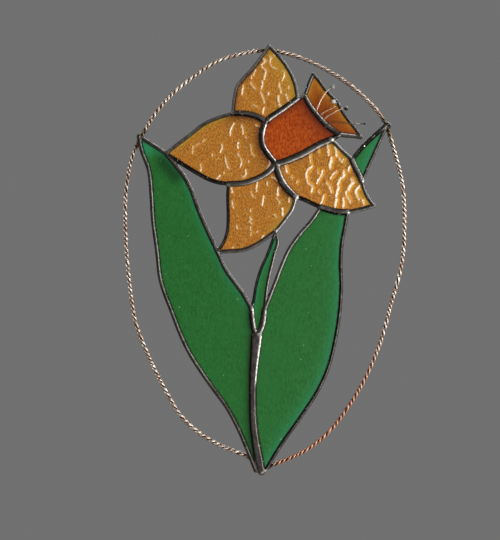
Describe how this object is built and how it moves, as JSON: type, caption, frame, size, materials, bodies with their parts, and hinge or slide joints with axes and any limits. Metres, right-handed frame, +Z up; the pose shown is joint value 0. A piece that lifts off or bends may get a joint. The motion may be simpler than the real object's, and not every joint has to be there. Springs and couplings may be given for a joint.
{
  "type": "stained-glass daffodil suncatcher",
  "caption": "Hanging copper-foil stained-glass daffodil with amber petals, a red-orange trumpet, green leaves and wire stamens, in an oval ring of twisted copper wire.",
  "frame": {"origin": "centre of the twisted wire ring's section at its top, the point that the piece hangs from", "axes": "+Z up, the glass panel's face looks along -Y, +X to the right as seen from the front; the ring lies in the plane Y = 0"},
  "size_m": [0.1992, 0.0125, 0.3021],
  "materials": {
    "amber_glass": "wavy amber streaky glass, glossy",
    "red_orange_glass": "opalescent red-orange glass, satin",
    "orange_glass": "orange glass, glossy",
    "green_glass": "mottled green cathedral glass, glossy",
    "solder": "solder beads with a dark patina",
    "copper_wire": "bare copper wire, semi-bright",
    "tinned_wire": "tinned wire, bright"
  },
  "bodies": {
    "root": {"glass_petal_top": "amber_glass", "glass_petal_left": "amber_glass", "glass_petal_lower": "amber_glass", "glass_petal_right": "amber_glass", "glass_trumpet": "red_orange_glass", "glass_trumpet_mouth": "orange_glass", "glass_leaf_left": "green_glass", "glass_leaf_right": "green_glass", "glass_leaf_tip": "green_glass", "glass_stem": "green_glass", "solder_web": "solder", "wire_ring": "copper_wire", "stamen_1": "tinned_wire", "stamen_2": "tinned_wire", "stamen_3": "tinned_wire", "stamen_4": "tinned_wire"}
  },
  "joints": []
}
